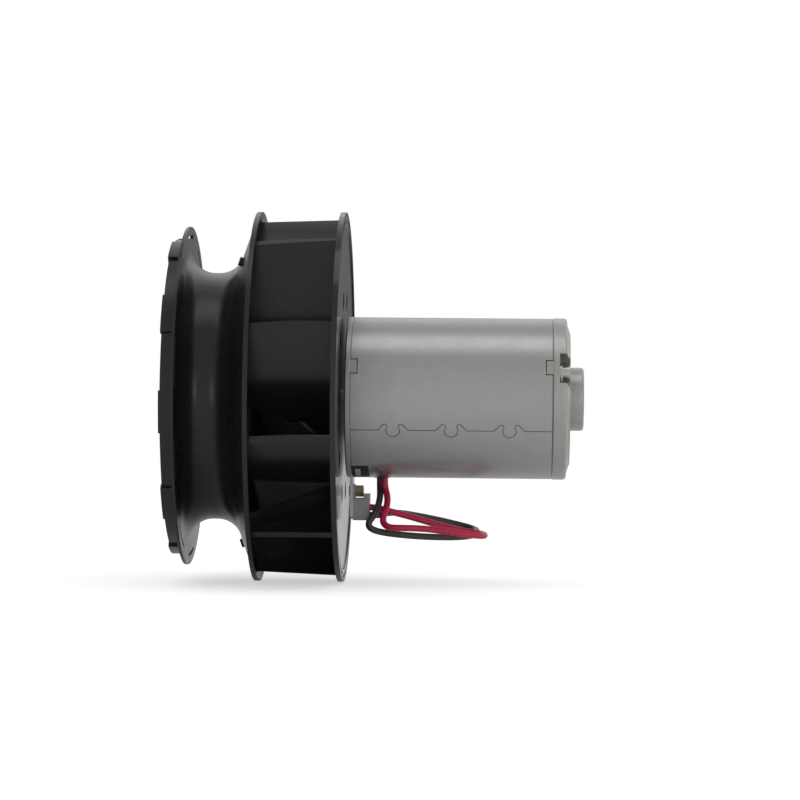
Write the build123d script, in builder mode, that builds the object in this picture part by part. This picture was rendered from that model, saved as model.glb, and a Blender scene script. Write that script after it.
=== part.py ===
from build123d import *
import os
from math import cos, pi, radians, sin, sqrt, tan

os.makedirs("parts", exist_ok=True)

# Blower motor: a permanent-magnet motor in a rolled steel can drives a backward-curved plastic
# wheel whose shroud runs on into a spool-shaped inlet. Millimetres. +X is the motor axis, from the
# inlet towards the rear bearing, +Z is up, and the origin is on the axis at the middle of the can.
# Angles called phi start at the side that faces -Y and grow upwards, towards +Z.

# Can
can_length = 99.0
can_radius = 40.0
can_wall = 2.5
seam_phi = -23.6
seam_width = 0.25
seam_depth = 0.8
seam_key_count = 3
seam_key_pitch = 28.5
seam_key_radius = 3.3
seam_key_drop = 0.2
seam_neck_half = 2.6
seam_lobe_height = 3.1
seam_lobe_top_half = 4.7
seam_lobe_base_half = 7.5
seam_mouth_half = 3.1
window_phi = -70.0
window_length = 8.5
window_width = 17.0
lead_phi = -98.0
lead_inset = 14.45
lead_hole_radius = 4.4

# End caps, their keys and the bolts that tie them together
key_phi = 22.5
key_width = 7.0
key_depth = 3.3
key_clearance = 0.2
spigot_clearance = 0.2
spigot_depth = 3.0
spigot_wall = 2.7
front_cap_rim = 2.85
front_cap_plate = 3.5
rear_cap_rim = 7.1
rear_cap_inset = 1.0
cap_rim_proud = 0.2
cap_joint_bevel = 0.5
cap_edge_radius = 1.5
cap_bevel = 0.6
shoulder_base_radius = 37.6
shoulder_top_radius = 33.6
shoulder_rise = 1.2
rear_plate_radius = 33.1
rear_plate_rise = 1.6
bearing_boss_radius = 15.75
bearing_boss_length = 7.0
boss_edge_radius = 1.6
inner_boss_wall = 3.5
notch_width = 15.6
notch_floor_inset = 3.4
notch_inner_radius = 28.5
bolt_circle_radius = 33.0
bolt_radius = 2.0
bolt_clearance = 0.2
bolt_flange_radius = 4.3
bolt_flange_thickness = 1.3
bolt_head_radius = 3.6
bolt_head_height = 3.9
bolt_pad_radius = 4.6
bolt_thread_length = 2.4

# Shaft and ball bearings
shaft_radius = 4.0
shaft_thread_radius = 3.0
shaft_hole_radius = 5.0
fit_clearance = 0.02
bearing_radius = 11.0
bearing_width = 7.0
bearing_outer_wall = 2.2
bearing_inner_wall = 2.1
bearing_wall_front = 2.0
ball_radius = 1.95
ball_count = 7
groove_clearance = 0.08
washer_gap = 0.7
washer_thickness = 0.7
shaft_end_gap = 0.5

# Armature and commutator
core_radius = 29.6
core_length = 40.0
slot_count = 12
slot_radius = 4.2
slot_circle_radius = 21.5
slot_mouth = 2.6
coil_clearance = 0.2
overhang_outer_radius = 27.4
overhang_inner_radius = 13.5
overhang_length = 8.5
overhang_round = 3.5
commutator_radius = 11.0
commutator_length = 15.0
commutator_bar_depth = 3.5
commutator_gap_deg = 3.0
commutator_start_gap = 2.5
riser_radius = 12.8
riser_length = 2.5
riser_gap = 2.0

# Field magnets
magnet_thickness = 6.8
magnet_length = 52.0
magnet_span_deg = 128.0
magnet_clearance = 0.2
clip_thickness = 0.8

# Brush gear
brush_plate_thickness = 4.0
brush_plate_inner_radius = 15.6
brush_plate_gap = 0.8
brush_x_size = 6.0
brush_y_size = 8.0
brush_length = 12.0
brush_gap = 0.08
brush_clearance = 0.15
holder_wall = 0.6
holder_start_gap = 1.4
spring_space = 7.0
holder_inner_gap = 1.8
spring_radius = 2.3
spring_wire = 0.6
spring_pitch = 1.4
window_block_gap = 0.25
terminal_width = 2.6
terminal_height = 10.0
terminal_thickness = 0.8
terminal_depth = 0.3

# Bracket, connector and leads
bracket_thickness = 1.3
bracket_width = 16.0
bracket_y = 7.0
bracket_inner_z = 31.0
bracket_outer_z = 61.0
bracket_clearance = 0.15
pocket_length = 6.0
screw_z = 47.1
screw_radius = 1.5
screw_head_radius = 2.8
screw_head_height = 0.9
nut_radius = 3.3
nut_height = 4.1
connector_length = 8.2
connector_height = 11.0
connector_width = 14.0
connector_top_z = 50.6
connector_step_start = 5.3
connector_step_rise = 2.2
connector_wall = 1.3
connector_tab = 0.9
connector_floor = 6.8
pin_spread = 2.9
pin_thickness = 0.8
pin_breadth = 2.8
pin_length = 5.6
lead_radius = 1.65
lead_spacing = 3.5
lead_pair_deg = 45.0
lead_entry_y = 3.6
red_entry_z = 55.1
black_entry_z = 59.0
lead_stub = 4.9
lead_landing = 3.0
grommet_flange_radius = 4.9
grommet_flange_rise = 0.2
grommet_clearance = 0.05

# Wheel
wheel_gap = 1.25
wheel_radius = 92.2
ring_thickness = 2.4
plate_thickness = 2.0
rim_groove_width = 1.6
rim_groove_depth = 0.5
rim_groove_inset = 2.2
plate_recess = 0.6
rim_band = 6.0
wheel_width = 44.2
blade_count = 10
blade_thickness = 2.0
blade_tip_phi = 23.8
blade_sweep_deg = 43.0
blade_inset_rear = 3.0
blade_inset_front = 4.7
blade_root_radius = 50.0
blade_edge_radius = 52.0
blade_edge_on_bell_deg = 45.0
blade_middle_radius = 68.0
blade_middle_sweep_deg = 21.0
vent_radius = 4.5
vent_circle_radius = 50.0
hub_radius = 13.0
hub_length = 28.0
hub_rib_count = 5
hub_rib_thickness = 2.0
hub_rib_reach = 38.0
hub_rib_drop = 22.0
insert_radius = 8.0
hub_washer_radius = 9.0
hub_washer_thickness = 1.6
hub_nut_radius = 5.77
hub_nut_height = 5.0
shaft_nose = 2.0

# Inlet spool
throat_radius = 61.5
bell_radius = 12.0
throat_flat = 2.2
cone_bell_radius = 13.5
shroud_cone_deg = 70.0
ring_lip = 3.9
shroud_wall = 1.6
flange_radius = 84.5
slot_band_radius = 80.3
slot_band_width = 1.6
slot_span_deg = 17.0
rim_outer_radius = 78.0
rim_wall = 2.3
rim_height = 5.6
tab_count = 10
tab_span_deg = 15.0
tab_phi = -5.8
tab_proud = 1.2
tab_rise = 0.6
pad_radius = 2.2
pad_height = 1.6
pad_along_cone = 3.0
pad_phis = [64.0, -85.0]

# Stations along the axis
can_front = -can_length / 2
can_rear = can_length / 2
can_inner_radius = can_radius - can_wall
spigot_radius = can_inner_radius - spigot_clearance
cap_radius = can_radius + cap_rim_proud
cap_front_face = can_front - front_cap_rim
front_bearing_start = cap_front_face + bearing_wall_front
front_bearing_end = front_bearing_start + bearing_width
rear_cap_face = can_rear + rear_cap_rim
boss_end = rear_cap_face + rear_plate_rise + bearing_boss_length
rear_seat_end = boss_end - bearing_wall_front - cap_edge_radius / 2
rear_bearing_end = rear_seat_end - washer_gap
rear_bearing_start = rear_bearing_end - bearing_width
shaft_end = rear_seat_end - shaft_end_gap
brush_plate_start = front_bearing_end + brush_plate_gap
brush_plate_end = brush_plate_start + brush_plate_thickness
commutator_start = front_bearing_end + commutator_start_gap
commutator_end = commutator_start + commutator_length
brush_x = brush_plate_end + holder_start_gap + holder_wall + brush_clearance + brush_x_size / 2
holder_inner_z = commutator_radius + holder_inner_gap
spring_inner_z = commutator_radius + brush_gap + brush_length
spring_outer_z = spring_inner_z + spring_space
holder_outer_z = spring_outer_z + holder_wall
front_overhang_start = commutator_end + riser_gap
core_start = front_overhang_start + overhang_length
core_end = core_start + core_length
core_middle = (core_start + core_end) / 2
plate_rear_face = cap_front_face - wheel_gap
wheel_front_face = plate_rear_face - wheel_width
web_rear_face = plate_rear_face - plate_recess
web_front_face = web_rear_face - plate_thickness
hub_front_face = web_front_face - hub_length
cone = radians(shroud_cone_deg)
ring_inner_radius = wheel_radius - ring_lip
cone_bell_r = throat_radius + cone_bell_radius
cone_r = cone_bell_r - cone_bell_radius * cos(cone)
cone_x = wheel_front_face - (ring_inner_radius - cone_r) / tan(cone)
cone_bell_x = cone_x - cone_bell_radius * sin(cone)
bell_x = cone_bell_x - throat_flat
bell_r = throat_radius + bell_radius
flange_rear_face = bell_x - bell_radius
flange_front_face = flange_rear_face - shroud_wall
blade_tip_radius_rear = wheel_radius - blade_inset_rear
blade_tip_radius_front = wheel_radius - blade_inset_front
shaft_front_end = hub_front_face - hub_washer_thickness - hub_nut_height - shaft_nose
rim_inner_radius = rim_outer_radius - rim_wall
lead_x = can_front + lead_inset
connector_end = can_front + connector_length


def outward(phi):
    """Unit vector that points away from the axis at angle phi."""
    return Vector(0, -cos(radians(phi)), sin(radians(phi)))


def tangent_plane(phi, radius, x):
    """Plane that faces outwards at angle phi, its own x along the motor axis."""
    direction = outward(phi)
    return Plane(origin=Vector(x, 0, 0) + direction * radius, x_dir=(1, 0, 0), z_dir=direction)


def turned(profile_points):
    """Solid of revolution about the motor axis from (x, r) corner points."""
    with BuildPart() as body:
        with BuildSketch(Plane.XZ):
            with BuildLine():
                Polyline(*profile_points, close=True)
            make_face()
        revolve(axis=Axis.X)
    return body.part


def sleeve(start, end, inner, outer):
    """Plain ring along the axis."""
    return turned([(start, inner), (end, inner), (end, outer), (start, outer)])


def save(builder, label):
    """Name a finished piece and write its file."""
    builder.part.label = label
    export_step(builder.part, "parts/" + label + ".step")


# Motor can: rolled sheet, its two edges joined by round keys along one seam
with BuildPart() as motor_can:
    add(sleeve(can_front, can_rear, can_inner_radius, can_radius))
    with BuildSketch(tangent_plane(seam_phi, can_radius - seam_depth, 0)):
        with BuildLine() as seam_line:
            last = (can_front - 1, 0)
            for index in range(seam_key_count):
                key_x = (index - (seam_key_count - 1) / 2) * seam_key_pitch
                neck_y = sqrt(seam_key_radius**2 - seam_neck_half**2) - seam_key_drop
                left_neck = (key_x - seam_neck_half, neck_y)
                right_neck = (key_x + seam_neck_half, neck_y)
                Polyline(
                    last,
                    (key_x - seam_lobe_base_half, 0),
                    (key_x - seam_lobe_top_half, seam_lobe_height),
                    (key_x - seam_mouth_half, seam_lobe_height),
                    left_neck,
                )
                ThreePointArc(left_neck, (key_x, -seam_key_drop - seam_key_radius), right_neck)
                last = (key_x + seam_lobe_base_half, 0)
                Polyline(
                    right_neck,
                    (key_x + seam_mouth_half, seam_lobe_height),
                    (key_x + seam_lobe_top_half, seam_lobe_height),
                    last,
                )
            Line(last, (can_rear + 1, 0))
        trace(line_width=seam_width)
    extrude(amount=can_wall, mode=Mode.SUBTRACT)
    with BuildSketch(tangent_plane(window_phi, can_inner_radius - 1, can_front)):
        Rectangle(2 * window_length, window_width)
    extrude(amount=can_wall + 2, mode=Mode.SUBTRACT)
    for end in (can_front, can_rear):
        for phi in (key_phi, key_phi + 180):
            with BuildSketch(tangent_plane(phi, can_inner_radius - 1, end)):
                Rectangle(2 * (key_depth + key_clearance), key_width + 2 * key_clearance)
            extrude(amount=can_wall + 2, mode=Mode.SUBTRACT)
    with BuildSketch(tangent_plane(lead_phi, can_inner_radius - 1, lead_x)):
        Circle(lead_hole_radius)
    extrude(amount=can_wall + 2, mode=Mode.SUBTRACT)
save(motor_can, "motor_can")


# Front end cap: bearing seat, spigot inside the can, two square keys in the can's edge
with BuildPart() as front_end_cap:
    plate_inner = cap_front_face + front_cap_plate
    spigot_end = can_front + spigot_depth
    boss_radius = bearing_radius + inner_boss_wall
    add(turned([
        (cap_front_face, shaft_hole_radius),
        (cap_front_face, cap_radius - cap_bevel),
        (cap_front_face + cap_bevel, cap_radius),
        (can_front - cap_joint_bevel, cap_radius),
        (can_front, cap_radius - cap_joint_bevel),
        (can_front, spigot_radius),
        (spigot_end, spigot_radius),
        (spigot_end, spigot_radius - spigot_wall),
        (plate_inner, spigot_radius - spigot_wall),
        (plate_inner, boss_radius + cap_edge_radius),
        (plate_inner + cap_edge_radius, boss_radius),
        (front_bearing_end, boss_radius),
        (front_bearing_end, bearing_radius + fit_clearance),
        (front_bearing_start, bearing_radius + fit_clearance),
        (front_bearing_start, shaft_hole_radius),
    ]))
    with BuildSketch(Plane.YZ.offset(can_front)):
        Circle(can_radius)
        Circle(spigot_radius - key_clearance, mode=Mode.SUBTRACT)
        Rectangle(3 * can_radius, key_width, rotation=-key_phi, mode=Mode.INTERSECT)
    extrude(amount=key_depth)
    for phi in (key_phi, key_phi + 180):
        seat = outward(phi) * bolt_circle_radius
        with BuildSketch(Plane.YZ.offset(plate_inner)):
            with Locations((seat.Y, seat.Z)):
                Circle(bolt_pad_radius)
            Circle(spigot_radius, mode=Mode.INTERSECT)
        extrude(amount=spigot_end - plate_inner)
        with BuildSketch(Plane.YZ.offset(spigot_end)):
            with Locations((seat.Y, seat.Z)):
                Circle(bolt_radius + fit_clearance)
        extrude(amount=-bolt_thread_length, mode=Mode.SUBTRACT)
    with BuildSketch(tangent_plane(window_phi, can_inner_radius - 4, spigot_end)):
        Rectangle(2 * spigot_depth, window_width + 2)
    extrude(amount=can_wall + 6, mode=Mode.SUBTRACT)
    with BuildSketch(Plane.XY.offset(-bracket_inner_z + bracket_clearance)):
        with Locations((can_front - bracket_thickness - bracket_clearance, bracket_y)):
            Rectangle(
                pocket_length,
                bracket_width + 2 * bracket_clearance,
                align=(Align.MIN, Align.CENTER),
            )
    extrude(amount=-can_radius, mode=Mode.SUBTRACT)
save(front_end_cap, "front_end_cap")

# Rear end cap: thick rim, conical shoulder, raised disc and the closed bearing boss
with BuildPart() as rear_end_cap:
    wall_inner = can_rear + rear_cap_inset
    spigot_tip = can_rear - spigot_depth
    plate_face = rear_cap_face + rear_plate_rise
    with BuildSketch(Plane.XZ):
        with BuildLine():
            Polyline(
                (spigot_tip, spigot_radius - spigot_wall),
                (spigot_tip, spigot_radius),
                (can_rear, spigot_radius),
                (can_rear, cap_radius - cap_joint_bevel),
                (can_rear + cap_joint_bevel, cap_radius),
                (rear_cap_face - cap_edge_radius, cap_radius),
            )
            RadiusArc(
                (rear_cap_face - cap_edge_radius, cap_radius),
                (rear_cap_face, cap_radius - cap_edge_radius),
                cap_edge_radius,
            )
            Polyline(
                (rear_cap_face, cap_radius - cap_edge_radius),
                (rear_cap_face, shoulder_base_radius),
                (rear_cap_face + shoulder_rise, shoulder_top_radius),
                (rear_cap_face + shoulder_rise, rear_plate_radius),
                (plate_face, rear_plate_radius),
                (plate_face, bearing_boss_radius),
                (boss_end - boss_edge_radius, bearing_boss_radius),
            )
            RadiusArc(
                (boss_end - boss_edge_radius, bearing_boss_radius),
                (boss_end, bearing_boss_radius - boss_edge_radius),
                boss_edge_radius,
            )
            Polyline(
                (boss_end, bearing_boss_radius - boss_edge_radius),
                (boss_end, 0),
                (rear_seat_end, 0),
                (rear_seat_end, bearing_radius + fit_clearance),
                (wall_inner, bearing_radius + fit_clearance),
                (wall_inner, spigot_radius - spigot_wall),
                (spigot_tip, spigot_radius - spigot_wall),
            )
        make_face()
    revolve(axis=Axis.X)
    with BuildSketch(Plane.YZ.offset(can_rear)):
        Circle(can_radius)
        Circle(spigot_radius - key_clearance, mode=Mode.SUBTRACT)
        Rectangle(3 * can_radius, key_width, rotation=-key_phi, mode=Mode.INTERSECT)
    extrude(amount=-key_depth)
    with BuildSketch(Plane.YZ.offset(can_rear + notch_floor_inset)):
        Rectangle(3 * can_radius, notch_width, rotation=-key_phi)
        Circle(notch_inner_radius, mode=Mode.SUBTRACT)
    extrude(amount=rear_cap_rim + rear_plate_rise, mode=Mode.SUBTRACT)
    for phi in (key_phi, key_phi + 180):
        seat = outward(phi) * bolt_circle_radius
        with BuildSketch(Plane.YZ.offset(can_rear - spigot_depth)):
            with Locations((seat.Y, seat.Z)):
                Circle(bolt_radius + bolt_clearance)
        extrude(amount=rear_cap_rim + spigot_depth, mode=Mode.SUBTRACT)
save(rear_end_cap, "rear_end_cap")

# Tie bolts: flanged cheese heads in the rear notches, shanks through the can to the front cap
with BuildPart() as tie_bolts:
    head_seat = can_rear + notch_floor_inset
    bolt_tip = can_front + spigot_depth - bolt_thread_length + bolt_clearance
    for phi in (key_phi, key_phi + 180):
        seat = outward(phi) * bolt_circle_radius
        with BuildSketch(Plane.YZ.offset(bolt_tip)):
            with Locations((seat.Y, seat.Z)):
                Circle(bolt_radius)
        extrude(amount=head_seat - bolt_tip)
        with BuildSketch(Plane.YZ.offset(head_seat)):
            with Locations((seat.Y, seat.Z)):
                Circle(bolt_flange_radius)
        extrude(amount=bolt_flange_thickness)
        with BuildSketch(Plane.YZ.offset(head_seat + bolt_flange_thickness)):
            with Locations((seat.Y, seat.Z)):
                Circle(bolt_head_radius)
        extrude(amount=bolt_head_height)
        with BuildSketch(Plane.YZ.offset(head_seat + bolt_flange_thickness + bolt_head_height)):
            with Locations((seat.Y, seat.Z)):
                RegularPolygon(bolt_head_radius / 2, 6, rotation=-key_phi)
        extrude(amount=-bolt_head_height / 2, mode=Mode.SUBTRACT)
save(tie_bolts, "tie_bolts")


def bearing_rings(start):
    """Outer ring, inner ring and balls of one deep-groove bearing."""
    end = start + bearing_width
    middle = (start + end) / 2
    inner_bore = shaft_radius + fit_clearance
    inner_top = inner_bore + bearing_inner_wall
    outer_bottom = bearing_radius - bearing_outer_wall
    ball_circle = (inner_top + outer_bottom) / 2
    groove = Pos(middle, 0, 0) * Rot(0, 90, 0) * Torus(ball_circle, ball_radius + groove_clearance)
    outer = sleeve(start, end, outer_bottom, bearing_radius) - groove
    inner = sleeve(start, end, inner_bore, inner_top) - groove
    with BuildPart() as balls:
        with Locations(Plane(origin=(middle, 0, 0), x_dir=(0, 1, 0), z_dir=(1, 0, 0))):
            with PolarLocations(ball_circle, ball_count):
                Sphere(ball_radius)
    return outer, inner, balls.part


# Ball bearings: outer rings sit in the caps, inner rings and balls go round with the shaft
for place, start in (("front", front_bearing_start), ("rear", rear_bearing_start)):
    outer_part, inner_part, ball_part = bearing_rings(start)
    with BuildPart() as bearing_outer_ring:
        add(outer_part)
    save(bearing_outer_ring, place + "_bearing_outer_ring")
    with BuildPart() as bearing_inner_ring:
        add(inner_part)
    save(bearing_inner_ring, place + "_bearing_inner_ring")
    with BuildPart() as bearing_balls:
        add(ball_part)
    save(bearing_balls, place + "_bearing_balls")

# Preload washer behind the rear bearing
with BuildPart() as preload_washer:
    add(sleeve(
        rear_seat_end - washer_thickness,
        rear_seat_end,
        bearing_radius - bearing_outer_wall,
        bearing_radius - fit_clearance,
    ))
save(preload_washer, "preload_washer")

# Field magnets: two ferrite arcs against the can, centred a quarter turn from the bolts
with BuildPart() as field_magnets:
    magnet_outer = can_inner_radius - fit_clearance
    magnet_start = core_middle - magnet_length / 2
    with BuildSketch(Plane.YZ.offset(magnet_start)):
        Circle(magnet_outer)
        Circle(magnet_outer - magnet_thickness, mode=Mode.SUBTRACT)
        gap_chord = 2 * magnet_outer * cos(radians(magnet_span_deg / 2))
        Rectangle(3 * can_radius, gap_chord, rotation=-key_phi, mode=Mode.SUBTRACT)
    extrude(amount=magnet_length)
save(field_magnets, "field_magnets")

# Magnet clips: thin spring leaves that lie on the can between the magnets' ends
with BuildPart() as magnet_clips:
    with BuildSketch(Plane.YZ.offset(magnet_start)):
        Circle(magnet_outer)
        Circle(magnet_outer - clip_thickness, mode=Mode.SUBTRACT)
        Rectangle(
            3 * can_radius,
            gap_chord - 2 * magnet_clearance,
            rotation=-key_phi,
            mode=Mode.INTERSECT,
        )
    extrude(amount=magnet_length)
save(magnet_clips, "magnet_clips")

# Motor shaft: one ground bar, its front end turned down for the wheel nut
with BuildPart() as motor_shaft:
    step_x = hub_front_face + fit_clearance
    add(turned([
        (shaft_front_end, 0),
        (shaft_front_end, shaft_thread_radius - 0.5),
        (shaft_front_end + 0.5, shaft_thread_radius),
        (step_x, shaft_thread_radius),
        (step_x, shaft_radius),
        (shaft_end - 0.5, shaft_radius),
        (shaft_end, shaft_radius - 0.5),
        (shaft_end, 0),
    ]))
save(motor_shaft, "motor_shaft")

# Armature core: slotted lamination stack
with BuildPart() as armature_core:
    with BuildSketch(Plane.YZ.offset(core_start)):
        Circle(core_radius)
        Circle(shaft_radius + fit_clearance, mode=Mode.SUBTRACT)
        with PolarLocations(slot_circle_radius, slot_count):
            Circle(slot_radius, mode=Mode.SUBTRACT)
        with PolarLocations(slot_circle_radius + slot_radius, slot_count):
            Rectangle(3 * slot_mouth, slot_mouth, mode=Mode.SUBTRACT)
    extrude(amount=core_length)
save(armature_core, "armature_core")

# Armature windings: copper bars through the slots, joined by a rounded overhang at each end
with BuildPart() as armature_windings:
    with BuildSketch(Plane.YZ.offset(core_start)):
        with PolarLocations(slot_circle_radius, slot_count):
            Circle(slot_radius - coil_clearance)
    extrude(amount=core_length)
    for middle in (core_start - overhang_length / 2, core_end + overhang_length / 2):
        with BuildSketch(Plane.XZ):
            with Locations((middle, (overhang_outer_radius + overhang_inner_radius) / 2)):
                RectangleRounded(
                    overhang_length,
                    overhang_outer_radius - overhang_inner_radius,
                    overhang_round,
                )
        revolve(axis=Axis.X)
save(armature_windings, "armature_windings")

# Commutator: moulded core with copper bars, each bar with a riser at the winding end
with BuildPart() as commutator_core:
    add(sleeve(
        commutator_start,
        commutator_end,
        shaft_radius + fit_clearance,
        commutator_radius - commutator_bar_depth,
    ))
save(commutator_core, "commutator_core")

with BuildPart() as commutator_bars:
    bar_inner = commutator_radius - commutator_bar_depth
    with BuildSketch(Plane.YZ.offset(commutator_start)):
        Circle(commutator_radius)
        Circle(bar_inner, mode=Mode.SUBTRACT)
    extrude(amount=commutator_length)
    with BuildSketch(Plane.YZ.offset(commutator_end - riser_length)):
        Circle(riser_radius)
        Circle(bar_inner, mode=Mode.SUBTRACT)
    extrude(amount=riser_length)
    bar_gap = 2 * commutator_radius * sin(radians(commutator_gap_deg / 2))
    with BuildSketch(Plane.YZ.offset(commutator_start)):
        with PolarLocations(0, slot_count, start_angle=180 / slot_count):
            Rectangle(2 * riser_radius, bar_gap, align=(Align.MIN, Align.CENTER))
    extrude(amount=commutator_length, mode=Mode.SUBTRACT)
save(commutator_bars, "commutator_bars")

# Brush plate: moulded disc with two pedestals and the block that fills the can's window
with BuildPart() as brush_plate:
    plate_radius = can_inner_radius - spigot_clearance
    with BuildSketch(Plane.YZ.offset(brush_plate_start)):
        Circle(plate_radius)
        Circle(brush_plate_inner_radius, mode=Mode.SUBTRACT)
        for phi in (key_phi, key_phi + 180):
            seat = outward(phi) * bolt_circle_radius
            with Locations((seat.Y, seat.Z)):
                Circle(bolt_radius + 2 * bolt_clearance, mode=Mode.SUBTRACT)
    extrude(amount=brush_plate_thickness)
    with BuildSketch(Plane.YZ.offset(brush_plate_end)):
        for side in (1, -1):
            with Locations((0, side * (holder_inner_z + holder_outer_z) / 2)):
                Rectangle(brush_y_size, holder_outer_z - holder_inner_z)
    extrude(amount=holder_start_gap)
    block_start = can_front + window_block_gap
    block_inner = can_inner_radius - 4
    block_length = window_length - 2 * window_block_gap
    with BuildSketch(tangent_plane(window_phi, block_inner, block_start + block_length / 2)):
        Rectangle(block_length, window_width - 2 * window_block_gap)
    extrude(amount=can_radius - block_inner + 1)
    with BuildSketch(Plane.YZ.offset(block_start)):
        Circle(can_radius)
    extrude(amount=brush_plate_end + holder_start_gap - block_start, mode=Mode.INTERSECT)
    pocket_radius = can_radius - terminal_depth - terminal_thickness
    terminal_x = block_start + window_length / 3
    with BuildSketch(tangent_plane(window_phi, pocket_radius, terminal_x)):
        Rectangle(terminal_width + window_block_gap, terminal_height + window_block_gap)
    extrude(amount=can_wall, mode=Mode.SUBTRACT)
save(brush_plate, "brush_plate")

# Supply terminal: bare metal tongue that shows in the window block
with BuildPart() as supply_terminal:
    with BuildSketch(tangent_plane(window_phi, pocket_radius, terminal_x)):
        Rectangle(terminal_width, terminal_height)
    extrude(amount=terminal_thickness)
save(supply_terminal, "supply_terminal")

# Brush holders: two brass tubes of square section, closed at their outer ends
with BuildPart() as brush_holders:
    for side in (1, -1):
        start_z = side * holder_inner_z
        with BuildSketch(Plane.XY.offset(start_z)):
            with Locations((brush_x, 0)):
                Rectangle(
                    brush_x_size + 2 * brush_clearance + 2 * holder_wall,
                    brush_y_size + 2 * brush_clearance + 2 * holder_wall,
                )
        extrude(amount=side * (holder_outer_z - holder_inner_z))
        with BuildSketch(Plane.XY.offset(start_z)):
            with Locations((brush_x, 0)):
                Rectangle(brush_x_size + 2 * brush_clearance, brush_y_size + 2 * brush_clearance)
        extrude(amount=side * (spring_outer_z - holder_inner_z), mode=Mode.SUBTRACT)
save(brush_holders, "brush_holders")

# Carbon brushes, each with a hollow face that follows the commutator, and their springs
for side, place in ((1, "upper"), (-1, "lower")):
    with BuildPart() as brush:
        with BuildSketch(Plane.XY.offset(side * (commutator_radius - 1))):
            with Locations((brush_x, 0)):
                Rectangle(brush_x_size, brush_y_size)
        extrude(amount=side * (1 + brush_gap + brush_length))
        with BuildSketch(Plane.YZ.offset(brush_x - brush_x_size)):
            Circle(commutator_radius + brush_gap)
        extrude(amount=2 * brush_x_size, mode=Mode.SUBTRACT)
    save(brush, place + "_brush")
    with BuildPart() as brush_spring:
        with BuildLine() as coil:
            Helix(
                pitch=spring_pitch,
                height=spring_space - spring_wire - 2 * brush_clearance,
                radius=spring_radius,
                center=(brush_x, 0, side * (spring_inner_z + spring_wire / 2 + brush_clearance)),
                direction=(0, 0, side),
            )
        with BuildSketch(Plane(origin=coil.line @ 0, z_dir=coil.line % 0)):
            Rectangle(spring_wire, spring_wire)
        sweep()
    save(brush_spring, place + "_brush_spring")

# Lead grommet: rubber plug in the can's wall
with BuildPart() as lead_grommet:
    with BuildSketch(tangent_plane(lead_phi, can_radius - grommet_flange_rise, lead_x)):
        Circle(grommet_flange_radius)
    extrude(amount=2 * grommet_flange_rise)
    with BuildSketch(Plane.YZ.offset(can_front)):
        Circle(can_radius + grommet_clearance)
    extrude(amount=can_length, mode=Mode.SUBTRACT)
    with BuildSketch(tangent_plane(lead_phi, can_inner_radius, lead_x)):
        Circle(lead_hole_radius - grommet_clearance)
    extrude(amount=can_wall + grommet_flange_rise)
save(lead_grommet, "lead_grommet")

# Terminal bracket: sheet-steel ear caught between the front cap and the can's edge
with BuildPart() as terminal_bracket:
    bracket_middle_z = -(bracket_inner_z + bracket_outer_z) / 2
    with BuildSketch(Plane.YZ.offset(can_front - bracket_thickness)):
        with Locations((bracket_y, bracket_middle_z)):
            Rectangle(bracket_width, bracket_outer_z - bracket_inner_z)
        with Locations((bracket_y, -screw_z)):
            Circle(screw_radius + bracket_clearance, mode=Mode.SUBTRACT)
    extrude(amount=bracket_thickness)
    outer_corners = terminal_bracket.edges().filter_by(Axis.X).group_by(Axis.Z)[0]
    fillet(outer_corners, cap_edge_radius)
save(terminal_bracket, "terminal_bracket")

# Connector housing: tab under the nut, solid lead end, socket open to the back
with BuildPart() as connector_housing:
    connector_middle_z = -connector_top_z - connector_height / 2
    with BuildSketch(Plane.YZ.offset(can_front)):
        with Locations((bracket_y, connector_middle_z)):
            Rectangle(connector_width, connector_height)
    extrude(amount=connector_length)
    fillet(connector_housing.edges().filter_by(Axis.X), cap_bevel)
    with BuildSketch(Plane.YZ.offset(can_front + connector_step_start)):
        with Locations((bracket_y, -connector_top_z - cap_bevel)):
            Rectangle(
                connector_width - 2 * cap_bevel,
                connector_step_rise + cap_bevel,
                align=(Align.CENTER, Align.MIN),
            )
    extrude(amount=connector_length - connector_step_start)
    with BuildSketch(Plane.YZ.offset(can_front)):
        with Locations((bracket_y, -connector_top_z)):
            Rectangle(
                2 * screw_head_radius + connector_wall,
                connector_top_z - screw_z + nut_radius + bracket_clearance,
                align=(Align.CENTER, Align.MIN),
            )
        with Locations((bracket_y, -screw_z)):
            Circle(screw_radius + bracket_clearance, mode=Mode.SUBTRACT)
    extrude(amount=connector_tab)
    back_y = bracket_y + connector_width / 2
    with BuildSketch(Plane.XZ.offset(-back_y)):
        with Locations((can_front + connector_length / 2, connector_middle_z)):
            Rectangle(connector_length - 2 * connector_wall, connector_height - 2 * connector_wall)
    extrude(amount=connector_width - connector_floor, mode=Mode.SUBTRACT)
save(connector_housing, "connector_housing")

# Connector pins: two flat blades in the socket
with BuildPart() as connector_pins:
    floor_y = bracket_y - connector_width / 2 + connector_floor
    with BuildSketch(Plane.XZ.offset(-floor_y)):
        with Locations(
            (can_front + connector_length / 2, connector_middle_z + pin_spread),
            (can_front + connector_length / 2, connector_middle_z - pin_spread),
        ):
            Rectangle(pin_breadth, pin_thickness)
    extrude(amount=-pin_length)
save(connector_pins, "connector_pins")

# Bracket screw and its deep hexagon nut
with BuildPart() as bracket_screw:
    bracket_front = can_front - bracket_thickness
    with BuildSketch(Plane.YZ.offset(bracket_front)):
        with Locations((bracket_y, -screw_z)):
            Circle(screw_head_radius)
    extrude(amount=-screw_head_height)
    fillet(bracket_screw.faces().sort_by(Axis.X)[0].edges(), screw_head_height / 2)
    with BuildSketch(Plane.YZ.offset(bracket_front)):
        with Locations((bracket_y, -screw_z)):
            Circle(screw_radius)
    extrude(amount=bracket_thickness + connector_tab + nut_height + bracket_clearance)
save(bracket_screw, "bracket_screw")

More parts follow.
